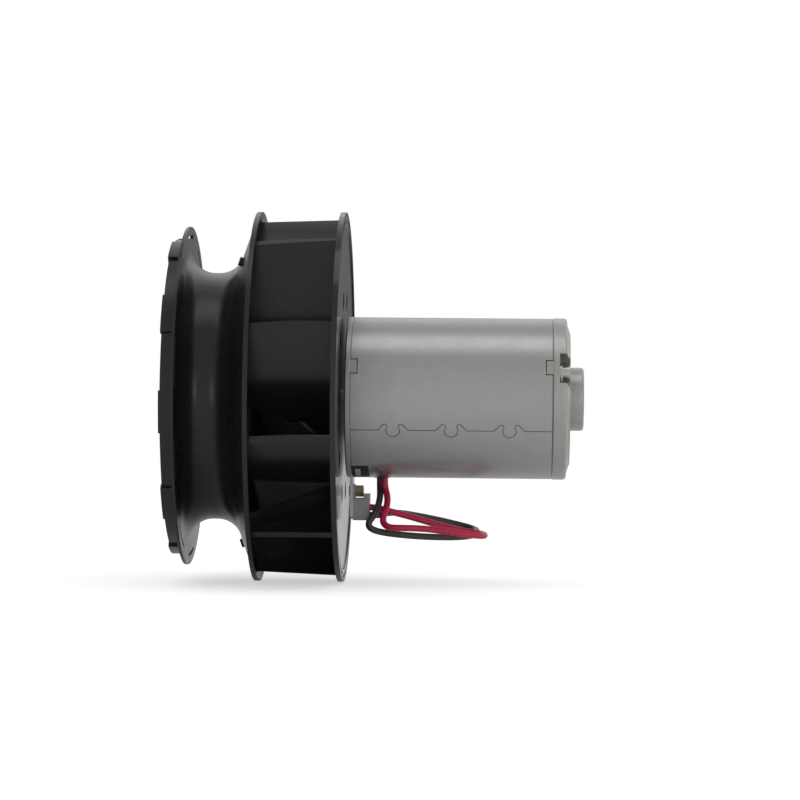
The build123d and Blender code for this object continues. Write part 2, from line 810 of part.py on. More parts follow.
with BuildPart() as bracket_nut:
    with BuildSketch(Plane.YZ.offset(can_front + connector_tab)):
        with Locations((bracket_y, -screw_z)):
            RegularPolygon(nut_radius, 6)
            Circle(screw_radius + fit_clearance, mode=Mode.SUBTRACT)
    extrude(amount=nut_height)
save(bracket_nut, "bracket_nut")


def lead_tube(points, label):
    """Lead as a tube: straight runs joined by arcs as large as the runs allow."""
    radii = []
    for before, corner, after in zip(points, points[1:], points[2:]):
        run_in = Vector(*corner) - Vector(*before)
        run_out = Vector(*after) - Vector(*corner)
        turn = radians(run_in.get_angle(run_out))
        radii.append(0.45 * min(run_in.length, run_out.length) / tan(turn / 2))
    with BuildPart() as lead:
        with BuildLine():
            route = FilletPolyline(*points, radius=radii)
        with BuildSketch(Plane(origin=route @ 0, z_dir=route % 0)):
            Circle(lead_radius)
        sweep()
    expected = pi * lead_radius**2 * route.length
    print(label, "length", round(route.length, 1), "radii", [round(r, 1) for r in radii])
    print(label, "volume ratio", round(lead.part.volume / expected, 4))
    save(lead, label)


# Leads: out of the grommet, along below the can, round a loop and back into the connector
pair_step = lead_spacing / 2 * cos(radians(lead_pair_deg))
pair_lean = lead_spacing / 2 * sin(radians(lead_pair_deg))
pair_side = Vector(0, sin(radians(lead_phi)), cos(radians(lead_phi))) * pair_lean
lead_exit = outward(lead_phi) * (can_radius + grommet_flange_rise)
lead_bend = lead_exit + outward(lead_phi) * lead_stub
black_exit = lead_exit - pair_side
black_bend = lead_bend - pair_side
lead_tube(
    [
        (lead_x - pair_step, black_exit.Y, black_exit.Z),
        (lead_x - pair_step, black_bend.Y, black_bend.Z),
        (-36.7, 3.2, -49.5),
        (-38.0, -1.2, -55.0),
        (-40.2, -3.2, -59.3),
        (-42.5, -4.4, -62.4),
        (-41.9, -5.2, -65.0),
        (-37.2, -5.0, -67.0),
        (-26.5, -3.6, -68.4),
        (-14.5, 0.5, -69.4),
        (-3.0, 6.5, -69.9),
        (6.0, 12.0, -69.8),
        (11.2, 17.5, -69.0),
        (12.9, 24.5, -67.4),
        (10.2, 31.0, -66.2),
        (3.4, 34.0, -64.6),
        (-6.5, 32.3, -62.3),
        (-17.0, 26.0, -60.0),
        (-26.0, 17.0, -58.2),
        (-32.4, 9.6, -57.9),
        (-36.0, 5.4, -59.0),
        (connector_end + lead_landing, lead_entry_y, -black_entry_z),
        (connector_end, lead_entry_y, -black_entry_z),
    ],
    "black_lead",
)
red_exit = lead_exit + pair_side
red_bend = lead_bend + pair_side
lead_tube(
    [
        (lead_x + pair_step, red_exit.Y, red_exit.Z),
        (lead_x + pair_step, red_bend.Y, red_bend.Z),
        (-32.9, 2.6, -49.5),
        (-33.2, -1.8, -54.0),
        (-34.8, -5.6, -58.4),
        (-35.0, -8.2, -62.2),
        (-31.8, -10.4, -64.7),
        (-24.0, -11.6, -64.7),
        (-14.5, -12.6, -64.8),
        (-5.0, -13.5, -65.7),
        (4.6, -13.8, -67.1),
        (12.0, -11.6, -68.0),
        (16.2, -6.8, -68.4),
        (16.8, -0.6, -68.2),
        (13.6, 4.2, -67.6),
        (6.8, 6.0, -66.8),
        (-2.0, 6.2, -64.8),
        (-11.5, 5.6, -62.4),
        (-21.5, 5.0, -59.5),
        (-30.5, 4.2, -57.2),
        (connector_end + lead_landing, lead_entry_y, -red_entry_z),
        (connector_end, lead_entry_y, -red_entry_z),
    ],
    "red_lead",
)

# Wheel disc: flat web, raised rim with a groove, cooling vents, ribbed hub on the inlet side
with BuildPart() as impeller_disc:
    groove_top = wheel_radius - rim_groove_inset
    add(turned([
        (web_front_face, insert_radius),
        (hub_front_face, insert_radius),
        (hub_front_face, hub_radius - cap_bevel),
        (hub_front_face + cap_bevel, hub_radius),
        (web_front_face - cap_edge_radius, hub_radius),
        (web_front_face, hub_radius + cap_edge_radius),
        (web_front_face, wheel_radius),
        (plate_rear_face, wheel_radius),
        (plate_rear_face, groove_top),
        (plate_rear_face - rim_groove_depth, groove_top),
        (plate_rear_face - rim_groove_depth, groove_top - rim_groove_width),
        (plate_rear_face, groove_top - rim_groove_width),
        (plate_rear_face, wheel_radius - rim_band),
        (web_rear_face, wheel_radius - rim_band),
        (web_rear_face, insert_radius),
    ]))
    for index in range(hub_rib_count):
        with BuildSketch(Plane.XZ.rotated((index * 360 / hub_rib_count, 0, 0))):
            with BuildLine():
                Polyline(
                    (web_front_face, hub_radius - hub_rib_thickness),
                    (web_front_face, hub_rib_reach),
                    (web_front_face - hub_rib_drop, hub_radius),
                    (web_front_face - hub_rib_drop, hub_radius - hub_rib_thickness),
                    close=True,
                )
            make_face()
        extrude(amount=hub_rib_thickness / 2, both=True)
    blade_pitch = 360 / blade_count
    vent_phi = blade_tip_phi - blade_sweep_deg + blade_pitch / 2
    with BuildSketch(Plane.YZ.offset(plate_rear_face)):
        with PolarLocations(vent_circle_radius, blade_count, start_angle=180 - vent_phi):
            Circle(vent_radius)
    extrude(amount=-plate_recess - 2 * plate_thickness, mode=Mode.SUBTRACT)
save(impeller_disc, "impeller_disc")

# Wheel blades: backward-curved arcs between the disc and the shroud, with a sloping inner edge
cone_bell_inner = cone_bell_radius + shroud_wall
cone_inner_x = cone_bell_x + cone_bell_inner * sin(cone)
cone_inner_r = cone_bell_r - cone_bell_inner * cos(cone)
edge_angle = radians(blade_edge_on_bell_deg)
edge_x = cone_bell_x + cone_bell_inner * sin(edge_angle)
edge_r = cone_bell_r - cone_bell_inner * cos(edge_angle)
tip_x = cone_inner_x + (blade_tip_radius_front - cone_inner_r) / tan(cone)


def on_wheel(radius, phi):
    """Point across the wheel, as (y, z)."""
    spot = outward(phi) * radius
    return (spot.Y, spot.Z)


with BuildPart() as blade:
    with BuildSketch(Plane.YZ.offset(web_front_face)):
        with BuildLine():
            ThreePointArc(
                on_wheel(blade_tip_radius_rear, blade_tip_phi),
                on_wheel(blade_middle_radius, blade_tip_phi - blade_middle_sweep_deg),
                on_wheel(blade_root_radius, blade_tip_phi - blade_sweep_deg),
            )
        trace(line_width=blade_thickness)
    extrude(amount=-wheel_width - bell_radius)
    with BuildSketch(Plane.XZ):
        with BuildLine():
            Polyline(
                (edge_x, edge_r),
                (web_front_face, blade_edge_radius),
                (web_front_face, blade_tip_radius_rear),
                (tip_x, blade_tip_radius_front),
                (cone_inner_x, cone_inner_r),
            )
            CenterArc(
                (cone_bell_x, cone_bell_r),
                cone_bell_inner,
                shroud_cone_deg - 90,
                blade_edge_on_bell_deg - shroud_cone_deg,
            )
        make_face()
    revolve(axis=Axis.X, mode=Mode.INTERSECT)

with BuildPart() as impeller_blades:
    for index in range(blade_count):
        add(blade.part.rotate(Axis.X, index * blade_pitch))
save(impeller_blades, "impeller_blades")

# Inlet shroud: cone over the blades, throat, and the flared inlet flange with its arc slots
with BuildPart() as inlet_shroud:
    bell_inner = bell_radius + shroud_wall
    ring_rear_face = wheel_front_face + ring_thickness
    with BuildSketch(Plane.XZ):
        with BuildLine():
            Line((flange_rear_face, flange_radius), (flange_rear_face, bell_r))
            CenterArc((bell_x, bell_r), bell_radius, 180, 90)
            Line((bell_x, throat_radius), (cone_bell_x, throat_radius))
            CenterArc((cone_bell_x, cone_bell_r), cone_bell_radius, 270, shroud_cone_deg)
            Polyline(
                (cone_x, cone_r),
                (wheel_front_face, ring_inner_radius),
                (wheel_front_face, wheel_radius),
                (ring_rear_face, wheel_radius),
                (ring_rear_face, cone_inner_r + (ring_rear_face - cone_inner_x) * tan(cone)),
                (cone_inner_x, cone_inner_r),
            )
            CenterArc(
                (cone_bell_x, cone_bell_r),
                cone_bell_inner,
                shroud_cone_deg - 90,
                -shroud_cone_deg,
            )
            Line((cone_bell_x, throat_radius - shroud_wall), (bell_x, throat_radius - shroud_wall))
            CenterArc((bell_x, bell_r), bell_inner, 270, -90)
            Polyline(
                (flange_front_face, bell_r),
                (flange_front_face, flange_radius),
                (flange_rear_face, flange_radius),
            )
        make_face()
    revolve(axis=Axis.X)
    with BuildSketch(Plane.XZ):
        with Locations((flange_front_face, slot_band_radius)):
            Rectangle(4 * shroud_wall, slot_band_width, align=(Align.CENTER, Align.MAX))
    slot_cut = revolve(axis=Axis.X, revolution_arc=slot_span_deg, mode=Mode.PRIVATE)
    tab_pitch = 360 / tab_count
    for index in range(tab_count):
        slot_phi = tab_phi + (index + 0.5) * tab_pitch
        add(slot_cut.rotate(Axis.X, 90 - slot_phi - slot_span_deg / 2), mode=Mode.SUBTRACT)
save(inlet_shroud, "inlet_shroud")

# Inlet rim: low collar on the flange, with raised tabs round it
with BuildPart() as inlet_rim:
    rim_front = flange_front_face - rim_height
    add(sleeve(rim_front, flange_front_face, rim_inner_radius, rim_outer_radius))
    with BuildSketch(Plane.XZ):
        with Locations((flange_front_face, rim_outer_radius + tab_proud)):
            Rectangle(rim_height + tab_rise, rim_wall + tab_proud, align=(Align.MAX, Align.MAX))
    rim_tab = revolve(axis=Axis.X, revolution_arc=tab_span_deg, mode=Mode.PRIVATE)
    for index in range(tab_count):
        turn = 90 - tab_phi - tab_span_deg / 2 + index * tab_pitch
        add(rim_tab.rotate(Axis.X, turn))
save(inlet_rim, "inlet_rim")

# Balance pads: small round weights on the outside of the shroud cone
with BuildPart() as balance_pads:
    pad_x = cone_x + pad_along_cone * cos(cone)
    pad_r = cone_r + pad_along_cone * sin(cone)
    for phi in pad_phis:
        side = outward(phi)
        normal = Vector(-sin(cone), 0, 0) + side * cos(cone)
        seat = Vector(pad_x, 0, 0) + side * pad_r - normal * (shroud_wall / 2)
        with BuildSketch(Plane(origin=seat, z_dir=normal)):
            Circle(pad_radius)
        extrude(amount=pad_height + shroud_wall / 2)
    add(inlet_shroud.part, mode=Mode.SUBTRACT)
save(balance_pads, "balance_pads")

# Hub insert, washer and nut that hold the wheel on the shaft
with BuildPart() as hub_insert:
    add(sleeve(hub_front_face, web_rear_face, shaft_radius + fit_clearance, insert_radius))
save(hub_insert, "hub_insert")

with BuildPart() as hub_washer:
    washer_front = hub_front_face - hub_washer_thickness
    add(sleeve(washer_front, hub_front_face, shaft_thread_radius + fit_clearance, hub_washer_radius))
save(hub_washer, "hub_washer")

with BuildPart() as hub_nut:
    with BuildSketch(Plane.YZ.offset(washer_front)):
        RegularPolygon(hub_nut_radius, 6)
        Circle(shaft_thread_radius + fit_clearance, mode=Mode.SUBTRACT)
    extrude(amount=-hub_nut_height)
save(hub_nut, "hub_nut")
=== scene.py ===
from math import atan2, cos, degrees, pi, radians, sin, sqrt, tan

import bpy
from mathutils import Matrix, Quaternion, Vector


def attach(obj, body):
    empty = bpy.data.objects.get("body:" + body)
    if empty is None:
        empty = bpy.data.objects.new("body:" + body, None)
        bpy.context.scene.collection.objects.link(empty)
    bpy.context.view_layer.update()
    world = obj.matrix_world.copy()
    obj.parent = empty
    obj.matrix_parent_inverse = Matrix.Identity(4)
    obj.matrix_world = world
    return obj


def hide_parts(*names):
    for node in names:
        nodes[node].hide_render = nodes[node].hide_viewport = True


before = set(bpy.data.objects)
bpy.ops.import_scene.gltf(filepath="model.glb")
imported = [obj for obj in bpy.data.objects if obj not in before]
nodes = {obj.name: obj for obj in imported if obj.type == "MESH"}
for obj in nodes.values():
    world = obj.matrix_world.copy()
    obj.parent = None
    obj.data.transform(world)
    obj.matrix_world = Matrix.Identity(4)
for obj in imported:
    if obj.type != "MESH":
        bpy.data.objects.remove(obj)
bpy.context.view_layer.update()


# Camera: a long lens nearly level with the motor, a little to its right, as the photograph was
# taken. The small roll is the photograph's own: the motor's axis drops slightly to the right.
camera_place = Vector((0.0303, -1.58, -0.001))
camera_target = Vector((-0.0264, 0.0, -0.0012))
frame_width = 0.4
camera_roll = 0.0095
camera_data = bpy.data.cameras.new("camera")
camera_data.lens = camera_data.sensor_width * (camera_target - camera_place).length / frame_width
camera_data.clip_start = 0.05
camera = bpy.data.objects.new("camera", camera_data)
bpy.context.scene.collection.objects.link(camera)
camera.rotation_mode = "QUATERNION"
camera.location = camera_place
aim = (camera_target - camera_place).to_track_quat("-Z", "Y")
camera.rotation_quaternion = aim @ Quaternion((0, 0, 1), camera_roll)
bpy.context.scene.camera = camera


# Leads: two stranded copper wires in smooth PVC insulation, red and black. They leave the can
# through its grommet, run out below it in a flat loop and come back into the connector.
def shader_group(name, inputs, outputs):
    """Empty node group with named sockets, its input and output nodes in place."""
    group = bpy.data.node_groups.new(name, "ShaderNodeTree")
    for label, kind, value in inputs:
        socket = group.interface.new_socket(label, in_out="INPUT", socket_type="NodeSocket" + kind)
        socket.default_value = value
    for label, kind in outputs:
        group.interface.new_socket(label, in_out="OUTPUT", socket_type="NodeSocket" + kind)
    return group, group.nodes.new("NodeGroupInput"), group.nodes.new("NodeGroupOutput")


def math_node(tree, operation, first, second=None, clamp=False):
    """Math node fed by sockets or plain numbers; returns its result."""
    node = tree.nodes.new("ShaderNodeMath")
    node.operation = operation
    node.use_clamp = clamp
    for socket, value in zip(node.inputs, (first, second)):
        if isinstance(value, (int, float)):
            socket.default_value = value
        elif value is not None:
            tree.links.new(value, socket)
    return node.outputs[0]


def noise_node(tree, place, scale):
    """Noise texture read at a place, both given by sockets; returns its value."""
    node = tree.nodes.new("ShaderNodeTexNoise")
    node.inputs["Detail"].default_value = 4.0
    node.inputs["Roughness"].default_value = 0.55
    tree.links.new(place, node.inputs["Vector"])
    tree.links.new(scale, node.inputs["Scale"])
    return node.outputs["Fac"]


def ramp_node(tree, value, low, high):
    """Smooth step from 0 at low to 1 at high."""
    node = tree.nodes.new("ShaderNodeMapRange")
    node.interpolation_type = "SMOOTHSTEP"
    tree.links.new(value, node.inputs["Value"])
    node.inputs["From Min"].default_value = low
    node.inputs["From Max"].default_value = high
    return node.outputs["Result"]


def mix_colour(tree, factor, first, second):
    """Mix of two colours, each given by a socket."""
    node = tree.nodes.new("ShaderNodeMix")
    node.data_type = "RGBA"
    tree.links.new(factor, node.inputs["Factor"])
    tree.links.new(first, node.inputs["A"])
    tree.links.new(second, node.inputs["B"])
    return node.outputs["Result"]


# Uneven surface: soft patches and a finer speckle, in colour, gloss and relief. The grain stretches
# or tightens the speckle along each axis, for rolled or turned metal.
uneven, given, made = shader_group(
    "uneven surface",
    [
        ("Base", "Color", (0.5, 0.5, 0.5, 1)),
        ("Patch", "Color", (0.4, 0.4, 0.4, 1)),
        ("Patch Scale", "Float", 60.0),
        ("Speck Scale", "Float", 900.0),
        ("Grain", "Vector", (1.0, 1.0, 1.0)),
        ("Speck Share", "Float", 0.4),
        ("Roughness", "Float", 0.4),
        ("Spread", "Float", 0.1),
    ],
    [("Color", "Color"), ("Roughness", "Float"), ("Height", "Float")],
)
spot = uneven.nodes.new("ShaderNodeTexCoord").outputs["Object"]
patches = ramp_node(uneven, noise_node(uneven, spot, given.outputs["Patch Scale"]), 0.32, 0.68)
stretch = uneven.nodes.new("ShaderNodeVectorMath")
stretch.operation = "MULTIPLY"
uneven.links.new(spot, stretch.inputs[0])
uneven.links.new(given.outputs["Grain"], stretch.inputs[1])
specks = ramp_node(
    uneven, noise_node(uneven, stretch.outputs["Vector"], given.outputs["Speck Scale"]), 0.3, 0.7
)
share = math_node(uneven, "MULTIPLY", specks, given.outputs["Speck Share"])
rest = math_node(uneven, "SUBTRACT", 1.0, given.outputs["Speck Share"])
blend = math_node(uneven, "ADD", math_node(uneven, "MULTIPLY", patches, rest), share)
uneven.links.new(
    mix_colour(uneven, blend, given.outputs["Base"], given.outputs["Patch"]), made.inputs["Color"]
)
middling = math_node(uneven, "SUBTRACT", blend, 0.5)
swing = math_node(uneven, "MULTIPLY", middling, given.outputs["Spread"])
uneven.links.new(
    math_node(uneven, "ADD", given.outputs["Roughness"], swing), made.inputs["Roughness"]
)
uneven.links.new(specks, made.inputs["Height"])


def material(
    name, base, patch, patch_mm, speck_mm, speck_share, rough, spread,
    metallic=0.0, relief_mm=0.01, grain=(1.0, 1.0, 1.0), shine=0.5,
):
    """Principled material over the uneven surface, with its relief as a bump."""
    made_of = bpy.data.materials.new(name)
    made_of.use_nodes = True
    tree = made_of.node_tree
    shader = tree.nodes["Principled BSDF"]
    shader.inputs["Metallic"].default_value = metallic
    shader.inputs["Specular IOR Level"].default_value = shine
    surface = tree.nodes.new("ShaderNodeGroup")
    surface.node_tree = uneven
    surface.inputs["Base"].default_value = (*base, 1)
    surface.inputs["Patch"].default_value = (*patch, 1)
    surface.inputs["Patch Scale"].default_value = 1000 / patch_mm
    surface.inputs["Speck Scale"].default_value = 1000 / speck_mm
    surface.inputs["Speck Share"].default_value = speck_share
    surface.inputs["Grain"].default_value = grain
    surface.inputs["Roughness"].default_value = rough
    surface.inputs["Spread"].default_value = spread
    bump = tree.nodes.new("ShaderNodeBump")
    bump.inputs["Strength"].default_value = 1.0
    bump.inputs["Distance"].default_value = relief_mm / 1000
    tree.links.new(surface.outputs["Height"], bump.inputs["Height"])
    tree.links.new(surface.outputs["Color"], shader.inputs["Base Color"])
    tree.links.new(surface.outputs["Roughness"], shader.inputs["Roughness"])
    tree.links.new(bump.outputs["Normal"], shader.inputs["Normal"])
    return made_of


lead_diameter = 0.0033
black_route = [
    (-0.036287, 0.00682, -0.039637),
    (-0.036287, 0.007502, -0.044489),
    (-0.0359, 0.0032, -0.0495),
    (-0.0369, -0.0012, -0.0550),
    (-0.0390, -0.0032, -0.0593),
    (-0.0414, -0.0044, -0.0624),
    (-0.0410, -0.0052, -0.0650),
    (-0.0366, -0.0050, -0.0670),
    (-0.0262, -0.0036, -0.0684),
    (-0.0145, 0.0005, -0.0694),
    (-0.0030, 0.0065, -0.0699),
    (0.0060, 0.0120, -0.0698),
    (0.0112, 0.0175, -0.0690),
    (0.0129, 0.0245, -0.0674),
    (0.0102, 0.0310, -0.0662),
    (0.0034, 0.0340, -0.0646),
    (-0.0065, 0.0323, -0.0623),
    (-0.0170, 0.0260, -0.0600),
    (-0.0260, 0.0170, -0.0582),
    (-0.0324, 0.0096, -0.0579),
    (-0.0360, 0.0054, -0.0590),
    (-0.0383, 0.0036, -0.0590),
    (-0.0413, 0.0036, -0.0590),
]
red_route = [
    (-0.033813, 0.00437, -0.039981),
    (-0.033813, 0.005052, -0.044833),
    (-0.0322, 0.0026, -0.0495),
    (-0.0322, -0.0018, -0.0540),
    (-0.0338, -0.0056, -0.0584),
    (-0.0342, -0.0082, -0.0622),
    (-0.0313, -0.0104, -0.0647),
    (-0.0240, -0.0116, -0.0647),
    (-0.0145, -0.0126, -0.0648),
    (-0.0050, -0.0135, -0.0657),
    (0.0046, -0.0138, -0.0671),
    (0.0120, -0.0116, -0.0680),
    (0.0162, -0.0068, -0.0684),
    (0.0168, -0.0006, -0.0682),
    (0.0136, 0.0042, -0.0676),
    (0.0068, 0.0060, -0.0668),
    (-0.0020, 0.0062, -0.0648),
    (-0.0115, 0.0056, -0.0624),
    (-0.0215, 0.0050, -0.0595),
    (-0.0305, 0.0042, -0.0572),
    (-0.0383, 0.0036, -0.0551),
    (-0.0413, 0.0036, -0.0551),
]


def lead(name, route, insulation):
    """Lead as a smooth round cord along its route, from the grommet back into the object."""
    curve = bpy.data.curves.new(name, "CURVE")
    curve.dimensions = "3D"
    curve.bevel_depth = lead_diameter / 2
    curve.bevel_resolution = 6
    curve.resolution_u = 10
    curve.use_fill_caps = True
    spline = curve.splines.new("NURBS")
    spline.points.add(len(route) - 1)
    for point, place in zip(spline.points, route):
        point.co = (*place, 1)
    spline.order_u = 3
    spline.use_endpoint_u = True
    cord = bpy.data.objects.new(name, curve)
    bpy.context.scene.collection.objects.link(cord)
    curve.materials.append(insulation)
    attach(cord, "motor")
    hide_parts(name.replace("lead_cord", "lead"))


black_insulation = material(
    "black insulation", (0.055, 0.04, 0.046), (0.075, 0.055, 0.062), 9, 0.8, 0.3, 0.32, 0.12
)
red_insulation = material(
    "red insulation", (0.60, 0.014, 0.075), (0.68, 0.025, 0.095), 9, 0.8, 0.3, 0.3, 0.12
)
lead("black_lead_cord", black_route, black_insulation)
lead("red_lead_cord", red_route, red_insulation)


# Studio: a pale floor under the wheel, a white surround that the camera sees at full strength and
# the object sees as a grey room, darker above and straight behind, and soft lamps above and in front.
floor_height = -0.0927
floor_size = 12.0
floor_glow = 0.52
floor_glow_mirrored = 0.1
bpy.ops.object.select_all(action="DESELECT")
bpy.ops.mesh.primitive_plane_add(size=floor_size, location=(0, 0, floor_height))
floor = bpy.context.object
floor.name = "floor"

floor_paint = bpy.data.materials.new("floor paint")
floor_paint.use_nodes = True
tree = floor_paint.node_tree
tree.nodes["Principled BSDF"].inputs["Base Color"].default_value = (0.8, 0.8, 0.8, 1)
tree.nodes["Principled BSDF"].inputs["Roughness"].default_value = 0.9
glow = tree.nodes.new("ShaderNodeEmission")
added = tree.nodes.new("ShaderNodeAddShader")
rays = tree.nodes.new("ShaderNodeLightPath")
seen = math_node(tree, "ADD", rays.outputs["Is Camera Ray"], rays.outputs["Is Transmission Ray"])
seen = math_node(tree, "MULTIPLY", seen, floor_glow)
mirrored = math_node(tree, "MULTIPLY", rays.outputs["Is Glossy Ray"], floor_glow_mirrored)
tree.links.new(math_node(tree, "ADD", seen, mirrored), glow.inputs["Strength"])
tree.links.new(tree.nodes["Principled BSDF"].outputs["BSDF"], added.inputs[0])
tree.links.new(glow.outputs["Emission"], added.inputs[1])
tree.links.new(added.outputs["Shader"], tree.nodes["Material Output"].inputs["Surface"])
floor.data.materials.append(floor_paint)

world = bpy.data.worlds.new("studio")
bpy.context.scene.world = world
world.use_nodes = True
tree = world.node_tree
direction = tree.nodes.new("ShaderNodeSeparateXYZ")
tree.links.new(tree.nodes.new("ShaderNodeTexCoord").outputs["Generated"], direction.inputs[0])
room_level = 0.62
backdrop_gain = 0.35
doorway_loss = 0.85
ceiling_loss = 0.18
white_mirrored = 0.05
ahead = direction.outputs["Y"]
backdrop = math_node(tree, "MULTIPLY", ramp_node(tree, ahead, 0.25, 0.95), backdrop_gain)
doorway = math_node(tree, "MULTIPLY", ramp_node(tree, ahead, 0.93, 0.995), doorway_loss)
ceiling = math_node(tree, "MULTIPLY", ramp_node(tree, direction.outputs["Z"], 0.6, 0.95), ceiling_loss)
darker = math_node(tree, "ADD", doorway, ceiling)
level = math_node(tree, "SUBTRACT", math_node(tree, "ADD", room_level, backdrop), darker)
room = tree.nodes["Background"]
room.inputs["Color"].default_value = (1, 1, 1, 1)
tree.links.new(level, room.inputs["Strength"])
white = tree.nodes.new("ShaderNodeBackground")
white.inputs["Color"].default_value = (1, 1, 1, 1)
blend_in = tree.nodes.new("ShaderNodeMixShader")
rays = tree.nodes.new("ShaderNodeLightPath")
seen = math_node(tree, "ADD", rays.outputs["Is Camera Ray"], rays.outputs["Is Transmission Ray"])
mirrored = math_node(tree, "MULTIPLY", rays.outputs["Is Glossy Ray"], white_mirrored)
seen = math_node(tree, "ADD", seen, mirrored, clamp=True)
tree.links.new(seen, blend_in.inputs["Fac"])
tree.links.new(room.outputs["Background"], blend_in.inputs[1])
tree.links.new(white.outputs["Background"], blend_in.inputs[2])
tree.links.new(blend_in.outputs["Shader"], tree.nodes["World Output"].inputs["Surface"])


def soft_lamp(name, place, width, height, power):
    """Rectangular soft box that faces the middle of the motor."""
    data = bpy.data.lights.new(name, "AREA")
    data.shape = "RECTANGLE"
    data.size = width
    data.size_y = height
    data.energy = power
    lamp = bpy.data.objects.new(name, data)
    bpy.context.scene.collection.objects.link(lamp)
    lamp.location = place
    lamp.rotation_mode = "QUATERNION"
    lamp.rotation_quaternion = (-Vector(place)).to_track_quat("-Z", "Y")


soft_lamp("lamp above", (0.0, -0.1, 1.3), 1.8, 0.62, 3.2)
soft_lamp("lamp at the right", (0.75, -1.4, 0.1), 0.16, 0.6, 1.1)
soft_lamp("lamp at the left", (-0.7, -1.44, 0.05), 0.16, 0.5, 0.8)
bpy.context.scene.view_settings.view_transform = "Standard"


# Motor can: 2.5 mm steel sheet, rolled into a tube, zinc plated, its two edges locked together by
# three round keys along one seam. Both ends have square cut-outs for the caps' keys.
smooth_below = radians(30)


def finish_mesh(piece, edge=0.0):
    """Rounds the sharp edges, puts the object at the origin and shades it smooth with true flats."""
    bpy.ops.object.select_all(action="DESELECT")
    piece.select_set(True)
    bpy.context.view_layer.objects.active = piece
    bpy.ops.object.transform_apply(location=True, rotation=True, scale=True)
    if edge:
        bevel = piece.modifiers.new("edges", "BEVEL")
        bevel.width = edge
        bevel.segments = 2
        bevel.limit_method = "ANGLE"
        bevel.angle_limit = smooth_below
        bpy.ops.object.modifier_apply(modifier=bevel.name)
    bpy.ops.object.shade_smooth_by_angle(angle=smooth_below)
    flats = piece.modifiers.new("flats", "WEIGHTED_NORMAL")
    flats.keep_sharp = True
    bpy.ops.object.modifier_apply(modifier=flats.name)


def drawn(name, points):
    """Chain of edges through points, left in edit mode and selected."""
    bpy.ops.object.select_all(action="DESELECT")
    bpy.ops.mesh.primitive_plane_add(size=0.001, enter_editmode=True)
    bpy.ops.mesh.merge(type="CENTER")
    bpy.ops.transform.translate(value=points[0])
    for before, after in zip(points, points[1:]):
        step = [b - a for a, b in zip(before, after)]
        bpy.ops.mesh.extrude_vertices_move(TRANSFORM_OT_translate={"value": step})
    bpy.ops.mesh.select_all(action="SELECT")
    piece = bpy.context.object
    piece.name = name
    return piece


def outward(phi, radius):
    """Y and Z at a radius from the motor axis; phi is 0 on the side that faces -Y, 90 on top."""
    return (-radius * cos(radians(phi)), radius * sin(radians(phi)))


def turned(name, profile, sides=192, middle=(0.0, 0.0), start_phi=90.0, turn_deg=360.0):
    """Body turned about an axis along X from a closed profile of (x, radius) points."""
    points = []
    for x, radius in profile + profile[:1]:
        y, z = outward(start_phi, radius)
        points.append((x, middle[0] + y, middle[1] + z))
    piece = drawn(name, points)
    if turn_deg < 360:
        bpy.ops.mesh.remove_doubles(threshold=1e-7)
        bpy.ops.mesh.edge_face_add()
    bpy.ops.mesh.spin(steps=sides, angle=radians(turn_deg), center=(0, *middle), axis=(1, 0, 0))
    bpy.ops.mesh.select_all(action="SELECT")
    bpy.ops.mesh.remove_doubles(threshold=1e-6)
    bpy.ops.mesh.normals_make_consistent(inside=False)
    bpy.ops.object.mode_set(mode="OBJECT")
    return piece


def arc(x, radius, size, start_deg, end_deg, steps=8):
    """Points of a round in a profile, its centre at (x, radius)."""
    turns = [radians(start_deg + (end_deg - start_deg) * step / steps) for step in range(steps + 1)]
    return [(x + size * cos(turn), radius + size * sin(turn)) for turn in turns]


def block(name, x_low, x_high, r_low, r_high, width, phi):
    """Box that stands out from the motor axis at an angle phi."""
    bpy.ops.object.select_all(action="DESELECT")
    bpy.ops.mesh.primitive_cube_add(
        size=1,
        location=((x_low + x_high) / 2, *outward(phi, (r_low + r_high) / 2)),
        rotation=(-radians(phi), 0, 0),
        scale=(x_high - x_low, r_high - r_low, width),
    )
    piece = bpy.context.object
    piece.name = name
    bpy.ops.object.transform_apply(location=True, rotation=True, scale=True)
    return piece


def combine(piece, operation, tool):
    """Cuts, joins or trims a piece with another, which is used up."""
    bpy.ops.object.select_all(action="DESELECT")
    bpy.context.view_layer.objects.active = piece
    change = piece.modifiers.new("change", "BOOLEAN")
    change.operation = operation
    change.solver = "EXACT"
    change.object = tool
    bpy.ops.object.modifier_apply(modifier=change.name)
    bpy.data.objects.remove(tool)
    return piece


def dress(piece, body, slot, made_of, *replaced):
    """Gives a finished piece its material, its body and the CAD nodes that it stands for."""
    piece.data.materials.clear()
    piece.data.materials.append(made_of)
    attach(piece, body)
    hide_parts(*replaced)


over = 0.001
can_front = -0.0495
can_rear = 0.0495
can_radius = 0.0400
can_bore = 0.0375
broken_edge = 0.00025
can = turned(
    "can_shell",
    [
        (can_front, can_bore),
        (can_rear, can_bore),
        (can_rear, can_radius - broken_edge),
        (can_rear - broken_edge, can_radius),
        (can_front + broken_edge, can_radius),
        (can_front, can_radius - broken_edge),
    ],
    sides=256,
)
key_phi = 22.5
key_cut_depth = 0.0035
key_cut_width = 0.0080
wall_inside = 0.036
wall_outside = 0.042
front_cut = (can_front - over, can_front + key_cut_depth)
rear_cut = (can_rear - key_cut_depth, can_rear + over)
for phi in (key_phi, key_phi + 180):
    for ends in (front_cut, rear_cut):
        combine(can, "DIFFERENCE", block("cut", *ends, wall_inside, wall_outside, key_cut_width, phi))
window_phi = -70.0
window_length = 0.0085
window_width = 0.017
window_ends = (can_front - over, can_front + window_length)
combine(can, "DIFFERENCE", block("cut", *window_ends, 0.035, 0.043, window_width, window_phi))
lead_phi = -98.0
lead_x = -0.03505
lead_hole_radius = 0.0044
